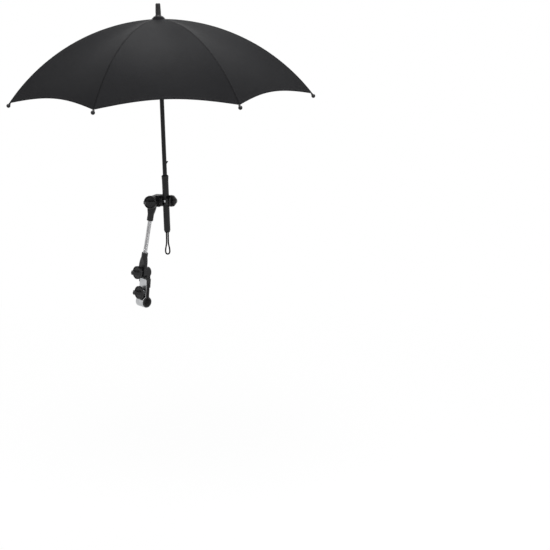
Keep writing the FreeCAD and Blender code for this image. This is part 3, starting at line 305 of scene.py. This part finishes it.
PLASTIC = moulded(
    "black_plastic", (0.0105, 0.0105, 0.0111), (0.02, 0.02, 0.0212), 0.3, 0.44, grain=2600.0, depth=0.00010
)
GRIP = moulded(
    "grip_plastic", (0.0095, 0.0095, 0.01), (0.017, 0.017, 0.018), 0.36, 0.5, grain=1800.0, depth=0.00012
)
RUBBER = moulded(
    "black_rubber", (0.022, 0.021, 0.022), (0.036, 0.035, 0.036), 0.62, 0.8, grain=1500.0, depth=0.0002
)
ENAMEL = metal(
    "black_enamel", (0.0075, 0.0075, 0.0082), (0.013, 0.013, 0.0142), 0.26, 0.38,
    stretch=(900, 900, 30), depth=0.00003,
)
ZINC = metal(
    "zinc_plate", (0.40, 0.41, 0.42), (0.53, 0.54, 0.55), 0.26, 0.40,
    stretch=(40, 900, 900), depth=0.00003,
)
CHROME = metal(
    "bright_wire", (0.5, 0.5, 0.51), (0.72, 0.72, 0.73), 0.16, 0.26,
    stretch=(300, 300, 300), depth=0.00002,
)
CLOTH_BLACK = woven(
    "black_cloth", (0.0033, 0.0033, 0.0038), (0.0112, 0.0113, 0.0125),
    thread=0.0007, sheen=0.004, rough=0.5, hem=CLOTH_LENGTH,
)
CAP_CLOTH = woven(
    "cap_cloth", (0.0045, 0.0045, 0.0053), (0.0135, 0.0135, 0.015),
    thread=0.0007, sheen=0.022, rough=0.78, flat_kind="object",
)
CORD_BLACK = woven(
    "black_cord", (0.0025, 0.0025, 0.003), (0.0085, 0.0085, 0.0092),
    thread=0.0009, sheen=0.015, rough=0.88, flat_kind="object",
)

# Enamel is paint on the metal, so it doesn't shine as bare metal does.
PAINT = ENAMEL.node_tree.nodes["Principled BSDF"]
PAINT.inputs["Metallic"].default_value = 0.0
PAINT.inputs["Specular IOR Level"].default_value = 0.2

# Looks of the solids: by material slot, and then those of single nodes.
LOOKS = {
    "black_plastic": PLASTIC,
    "black_steel": ENAMEL,
    "black_cloth": CLOTH_BLACK,
    "black_cord": CORD_BLACK,
    "black_rubber": RUBBER,
    "bright_steel": ZINC,
    "spring_steel": CHROME,
}


def dress(node, material):
    obj = frame["nodes"][node]
    obj.data.materials.clear()
    obj.data.materials.append(material)


for node, slot in SLOTS.items():
    dress(node, LOOKS[slot])
dress("handle", GRIP)
dress("pivot_nut", ZINC)
dress("top_cap", CAP_CLOTH)
dress("open_catch", ENAMEL)
dress("closed_catch", ENAMEL)
for k in range(RIBS):
    dress("rib_tip_%d" % (k + 1), ENAMEL)


def soften(node, width):
    """Rounds the sharp edges of a moulded or pressed piece."""
    obj = frame["nodes"][node]
    weld = obj.modifiers.new("weld", "WELD")
    weld.merge_threshold = 0.00001
    flat = obj.modifiers.new("flat", "DECIMATE")
    flat.decimate_type = "DISSOLVE"
    flat.angle_limit = math.radians(0.4)
    edge = obj.modifiers.new("edge", "BEVEL")
    edge.width = width
    edge.segments = 3
    edge.limit_method = "ANGLE"
    edge.angle_limit = math.radians(28)
    edge.use_clamp_overlap = True
    edge.harden_normals = False
    even = obj.modifiers.new("even", "WEIGHTED_NORMAL")
    even.keep_sharp = True
    obj.data.shade_smooth()


for node, width in (
    ("clamp_bracket", 0.0009),
    ("clamp_knob", 0.0008),
    ("arm_knob", 0.0008),
    ("pole_knob", 0.0008),
    ("pivot_knob", 0.0008),
    ("neck_arm", 0.0007),
    ("neck_sleeve", 0.0007),
    ("upper_block", 0.0010),
    ("pole_jaw", 0.0008),
    ("clamp_strap", 0.00035),
    ("clamp_liner", 0.0005),
    ("pivot_nut", 0.0004),
    ("arm_bolt", 0.0005),
    ("clamp_bolt", 0.0005),
    ("knob_washers", 0.0002),
    ("pivot_washer", 0.0002),
    ("ferrule", 0.0005),
    ("handle", 0.0005),
    ("runner", 0.0004),
    ("notch", 0.0004),
):
    soften(node, width)


def mesh_object(name, verts, faces, material):
    mesh = bpy.data.meshes.new(name)
    mesh.from_pydata([tuple(v) for v in verts], [], faces)
    mesh.update()
    mesh.shade_smooth()
    obj = bpy.data.objects.new(name, mesh)
    obj.data.materials.append(material)
    COLLECTION.objects.link(obj)
    return obj


# Canopy: one smooth sheet for each rib, meeting its neighbours along the middles of the gores.


def canopy_spot(k, across, along):
    """A point of the cloth: across from -1 to 1 between gore middles, along from 0 (top) to 1 (hem)."""
    away = abs(across)
    phi = away * GORE_HALF
    narrow = math.cos(GORE_HALF) / math.cos(GORE_HALF - phi)
    radius = CANOPY_IN + CLOTH
    first = math.asin(HOLE / radius)
    hem = HEM - SCALLOP * (1 - (1 - away) ** 2) / radius
    angle = first + (hem - first) * along
    low = SAG * math.sin(away * math.pi / 2) * math.sin(math.pi * along)
    reach = radius * math.sin(angle) * narrow
    height = radius * math.cos(angle) - ARC_DROP - low
    way = math.copysign(phi, across)
    side = RIB_OUT[k] * math.cos(way) + POLE_UP.cross(RIB_OUT[k]) * math.sin(way)
    return TOP + side * reach + POLE_UP * height


def canopy_normal(k, across, along):
    step = 1e-3
    a0, a1 = max(-1.0, across - step), min(1.0, across + step)
    b0, b1 = max(0.0, along - step), min(1.0, along + step)
    du = canopy_spot(k, a1, along) - canopy_spot(k, a0, along)
    dv = canopy_spot(k, across, b1) - canopy_spot(k, across, b0)
    normal = dv.cross(du).normalized()
    return normal if normal.dot(POLE_UP) > 0 else -normal


def sheet_points(k):
    """Corners of a sheet's upper and lower faces, their places in the flat cloth and the ways they face."""
    verts = []
    flat = []
    facing = []
    for under in (0, 1):
        for r in range(ROWS + 1):
            along = r / ROWS
            for c in range(COLUMNS + 1):
                part = -1 + 2 * c / COLUMNS
                across = math.copysign(abs(part) ** 1.5, part)
                spot = canopy_spot(k, across, along)
                up_there = canopy_normal(k, across, along)
                if under:
                    spot = spot - up_there * CLOTH
                verts.append(spot)
                facing.append(-up_there if under else up_there)
                reach = (spot - TOP).dot(POLE_UP.cross(RIB_OUT[k]))
                flat.append((reach, along * CLOTH_LENGTH))
    return verts, flat, facing


def sheet_faces():
    """Upper and lower faces of a sheet and the narrow faces along its four edges."""
    wide = COLUMNS + 1
    half = wide * (ROWS + 1)
    faces = []
    for r in range(ROWS):
        for c in range(COLUMNS):
            a = r * wide + c
            faces.append((a, a + wide, a + wide + 1, a + 1))
            b = a + half
            faces.append((b, b + 1, b + wide + 1, b + wide))
    for r in range(ROWS):
        for c in (0, COLUMNS):
            a = r * wide + c
            quad = (a, a + half, a + half + wide, a + wide)
            faces.append(quad if c == 0 else quad[::-1])
    for c in range(COLUMNS):
        faces.append((c, c + 1, c + 1 + half, c + half))
        a = ROWS * wide + c
        faces.append((a, a + half, a + half + 1, a + 1))
    return faces


def canopy_sheet(k):
    verts, flat, facing = sheet_points(k)
    sheet = mesh_object("canopy_cloth_%d" % (k + 1), verts, sheet_faces(), CLOTH_BLACK)
    layer = sheet.data.uv_layers.new(name="flat")
    for loop in sheet.data.loops:
        layer.data[loop.index].uv = flat[loop.vertex_index]
    sheet.data.normals_split_custom_set([tuple(facing[loop.vertex_index]) for loop in sheet.data.loops])
    return sheet


SHEETS = [canopy_sheet(k) for k in range(RIBS)]
for k, sheet in enumerate(SHEETS):
    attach(sheet, "rib_%d" % (k + 1))
    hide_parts("canopy_panel_%d" % (k + 1))
    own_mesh(sheet)


# Neck spring and its core.


def neck_spot(x, y, z):
    return NECK_FOOT + NECK_OUT * x + NECK_SIDE * y + NECK_UP * z


def tube(name, path, radius, sides, material):
    """A round tube along a path of close points."""
    verts = []
    faces = []
    side = None
    for n, spot in enumerate(path):
        ahead = path[min(n + 1, len(path) - 1)] - path[max(n - 1, 0)]
        ahead.normalize()
        if side is None:
            side = ahead.orthogonal().normalized()
        side = (side - ahead * side.dot(ahead)).normalized()
        other = ahead.cross(side)
        for s in range(sides):
            a = 2 * math.pi * s / sides
            verts.append(spot + side * (radius * math.cos(a)) + other * (radius * math.sin(a)))
    for n in range(len(path) - 1):
        for s in range(sides):
            t = (s + 1) % sides
            faces.append((n * sides + s, n * sides + t, (n + 1) * sides + t, (n + 1) * sides + s))
    faces.append(tuple(range(sides))[::-1])
    last = (len(path) - 1) * sides
    faces.append(tuple(range(last, last + sides)))
    return mesh_object(name, verts, faces, material)


steps = COIL_TURNS * COIL_STEPS
coil_path = []
for n in range(steps + 1):
    a = 2 * math.pi * COIL_TURNS * n / steps
    z = COIL_LOW + (COIL_HIGH - COIL_LOW) * n / steps
    coil_path.append(neck_spot(COIL_R * math.cos(a), COIL_R * math.sin(a), z))
coil = tube("neck_coil", coil_path, WIRE_R, 10, CHROME)
core_path = [neck_spot(0, 0, CORE_LOW + CORE_LENGTH * n / CORE_STEPS) for n in range(CORE_STEPS + 1)]
core = tube("neck_inner", core_path, CORE_R, 16, RUBBER)
for piece, node in ((coil, "neck_spring"), (core, "neck_core")):
    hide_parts(node)
    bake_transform(piece)

# Wrist cord: a loop that hangs from the plug, as points below its hole.
CORD_POINTS = [
    (-0.00240, 0.0000, 0.0003),
    (-0.00238, 0.0002, -0.0120),
    (-0.00240, 0.0002, -0.0240),
    (-0.00255, 0.0000, -0.0330),
    (-0.00440, -0.0002, -0.0420),
    (-0.00580, -0.0004, -0.0500),
    (-0.00590, -0.0002, -0.0570),
    (-0.00430, 0.0000, -0.0616),
    (0.00000, 0.0000, -0.0636),
    (0.00430, 0.0000, -0.0616),
    (0.00590, 0.0002, -0.0570),
    (0.00580, 0.0004, -0.0500),
    (0.00440, 0.0002, -0.0420),
    (0.00255, 0.0000, -0.0330),
    (0.00240, -0.0002, -0.0240),
    (0.00238, -0.0002, -0.0120),
    (0.00240, 0.0000, 0.0003),
]
HANG = TOP - POLE_UP * (NOTCH_HEIGHT + GRIP_BELOW + PLUG)
HANG_TURN = Matrix.Rotation(CORD_TURN, 3, "Z")
cord_spots = [HANG + HANG_TURN @ Vector(p) for p in CORD_POINTS]
line = bpy.data.curves.new("wrist_cord", "CURVE")
line.dimensions = "3D"
line.bevel_depth = CORD_R
line.bevel_resolution = 4
line.resolution_u = 8
line.use_fill_caps = True
spline = line.splines.new("NURBS")
spline.points.add(len(cord_spots) - 1)
for point, spot in zip(spline.points, cord_spots):
    point.co = (*spot, 1)
spline.order_u = 3
spline.use_endpoint_u = True
cord = bpy.data.objects.new("wrist_cord", line)
COLLECTION.objects.link(cord)
line.materials.append(CORD_BLACK)
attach(cord, "pole")
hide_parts("wrist_strap")


# Floor, light and camera.


def plainly_seen(tree):
    """One for rays from the camera, off shiny faces and through clear ones."""
    rays = tree.nodes.new("ShaderNodeLightPath")
    seen = maths(tree, "MAXIMUM", rays.outputs["Is Camera Ray"], rays.outputs["Is Glossy Ray"])
    return maths(tree, "MAXIMUM", seen, rays.outputs["Is Transmission Ray"])


def white_floor():
    """A pale floor that keeps a faint shadow near the parasol and turns to plain white farther out."""
    mesh = bpy.data.meshes.new("floor")
    corners = [(-FLOOR_HALF, -FLOOR_HALF, 0), (FLOOR_HALF, -FLOOR_HALF, 0)]
    corners += [(FLOOR_HALF, FLOOR_HALF, 0), (-FLOOR_HALF, FLOOR_HALF, 0)]
    mesh.from_pydata(corners, [], [(0, 1, 2, 3)])
    obj = bpy.data.objects.new("floor", mesh)
    obj.location = (0, 0, FLOOR)
    COLLECTION.objects.link(obj)
    pale = bpy.data.materials.new("pale_floor")
    tree, shader = nodes_of(pale)
    shader.inputs["Base Color"].default_value = (0.92, 0.92, 0.92, 1)
    shader.inputs["Roughness"].default_value = 0.9
    glow = tree.nodes.new("ShaderNodeEmission")
    glow.inputs["Color"].default_value = (1, 1, 1, 1)
    pick = tree.nodes.new("ShaderNodeMixShader")
    away = tree.nodes.new("ShaderNodeVectorMath")
    away.operation = "LENGTH"
    tree.links.new(object_coords(tree), away.inputs[0])
    clear = ramp(tree, away.outputs["Value"], 0.6, 2.6, 0.94, 1.0)
    tree.links.new(maths(tree, "MULTIPLY", plainly_seen(tree), clear), pick.inputs[0])
    tree.links.new(shader.outputs["BSDF"], pick.inputs[1])
    tree.links.new(glow.outputs["Emission"], pick.inputs[2])
    out = tree.nodes["Material Output"]
    tree.links.new(pick.outputs["Shader"], out.inputs["Surface"])
    obj.data.materials.append(pale)
    return obj


floor = white_floor()


def studio_world():
    """Soft light from all sides, seen as plain white."""
    world = bpy.data.worlds.new("studio")
    world.use_nodes = True
    tree = world.node_tree
    tree.nodes.clear()
    out = tree.nodes.new("ShaderNodeOutputWorld")
    soft = tree.nodes.new("ShaderNodeBackground")
    soft.inputs["Color"].default_value = (1, 1, 1, 1)
    soft.inputs["Strength"].default_value = 0.34
    white = tree.nodes.new("ShaderNodeBackground")
    white.inputs["Color"].default_value = (1, 1, 1, 1)
    white.inputs["Strength"].default_value = 1.0
    pick = tree.nodes.new("ShaderNodeMixShader")
    tree.links.new(plainly_seen(tree), pick.inputs[0])
    tree.links.new(soft.outputs["Background"], pick.inputs[1])
    tree.links.new(white.outputs["Background"], pick.inputs[2])
    tree.links.new(pick.outputs["Shader"], out.inputs["Surface"])
    return world


bpy.context.scene.world = studio_world()


def lamp(name, spot, aim, width, power):
    data = bpy.data.lights.new(name, "AREA")
    data.shape = "DISK"
    data.size = width
    data.energy = power
    obj = bpy.data.objects.new(name, data)
    obj.location = spot
    obj.rotation_euler = (Vector(aim) - Vector(spot)).to_track_quat("-Z", "Y").to_euler()
    COLLECTION.objects.link(obj)


lamp("key", (1.3, -1.3, 3.4), (0, 0, 0.6), 1.5, 105)
lamp("fill", (2.4, 0.2, 2.4), (0, 0, 0.5), 1.8, 34)
lamp("rim", (-0.7, 1.1, 3.4), (0, 0, 0.6), 1.4, 60)

flat_part = math.cos(PITCH)
toward = Vector((math.sin(AZIMUTH) * flat_part, -math.cos(AZIMUTH) * flat_part, math.sin(PITCH)))
right = Vector((math.cos(AZIMUTH), math.sin(AZIMUTH), 0))
up = toward.cross(right)
aim = Vector((0, 0, AIM_HEIGHT)) + right * AIM_RIGHT + up * AIM_UP
camera_data = bpy.data.cameras.new("camera")
camera_data.sensor_width = SENSOR
camera_data.sensor_fit = "HORIZONTAL"
camera_data.lens = SENSOR * FOCAL / PICTURE
camera = bpy.data.objects.new("camera", camera_data)
turn = Matrix((right, up, toward)).transposed().to_4x4()
turn.translation = aim + toward * DISTANCE
camera.matrix_world = turn
COLLECTION.objects.link(camera)
bpy.context.scene.camera = camera
bpy.context.scene.view_settings.view_transform = "Standard"
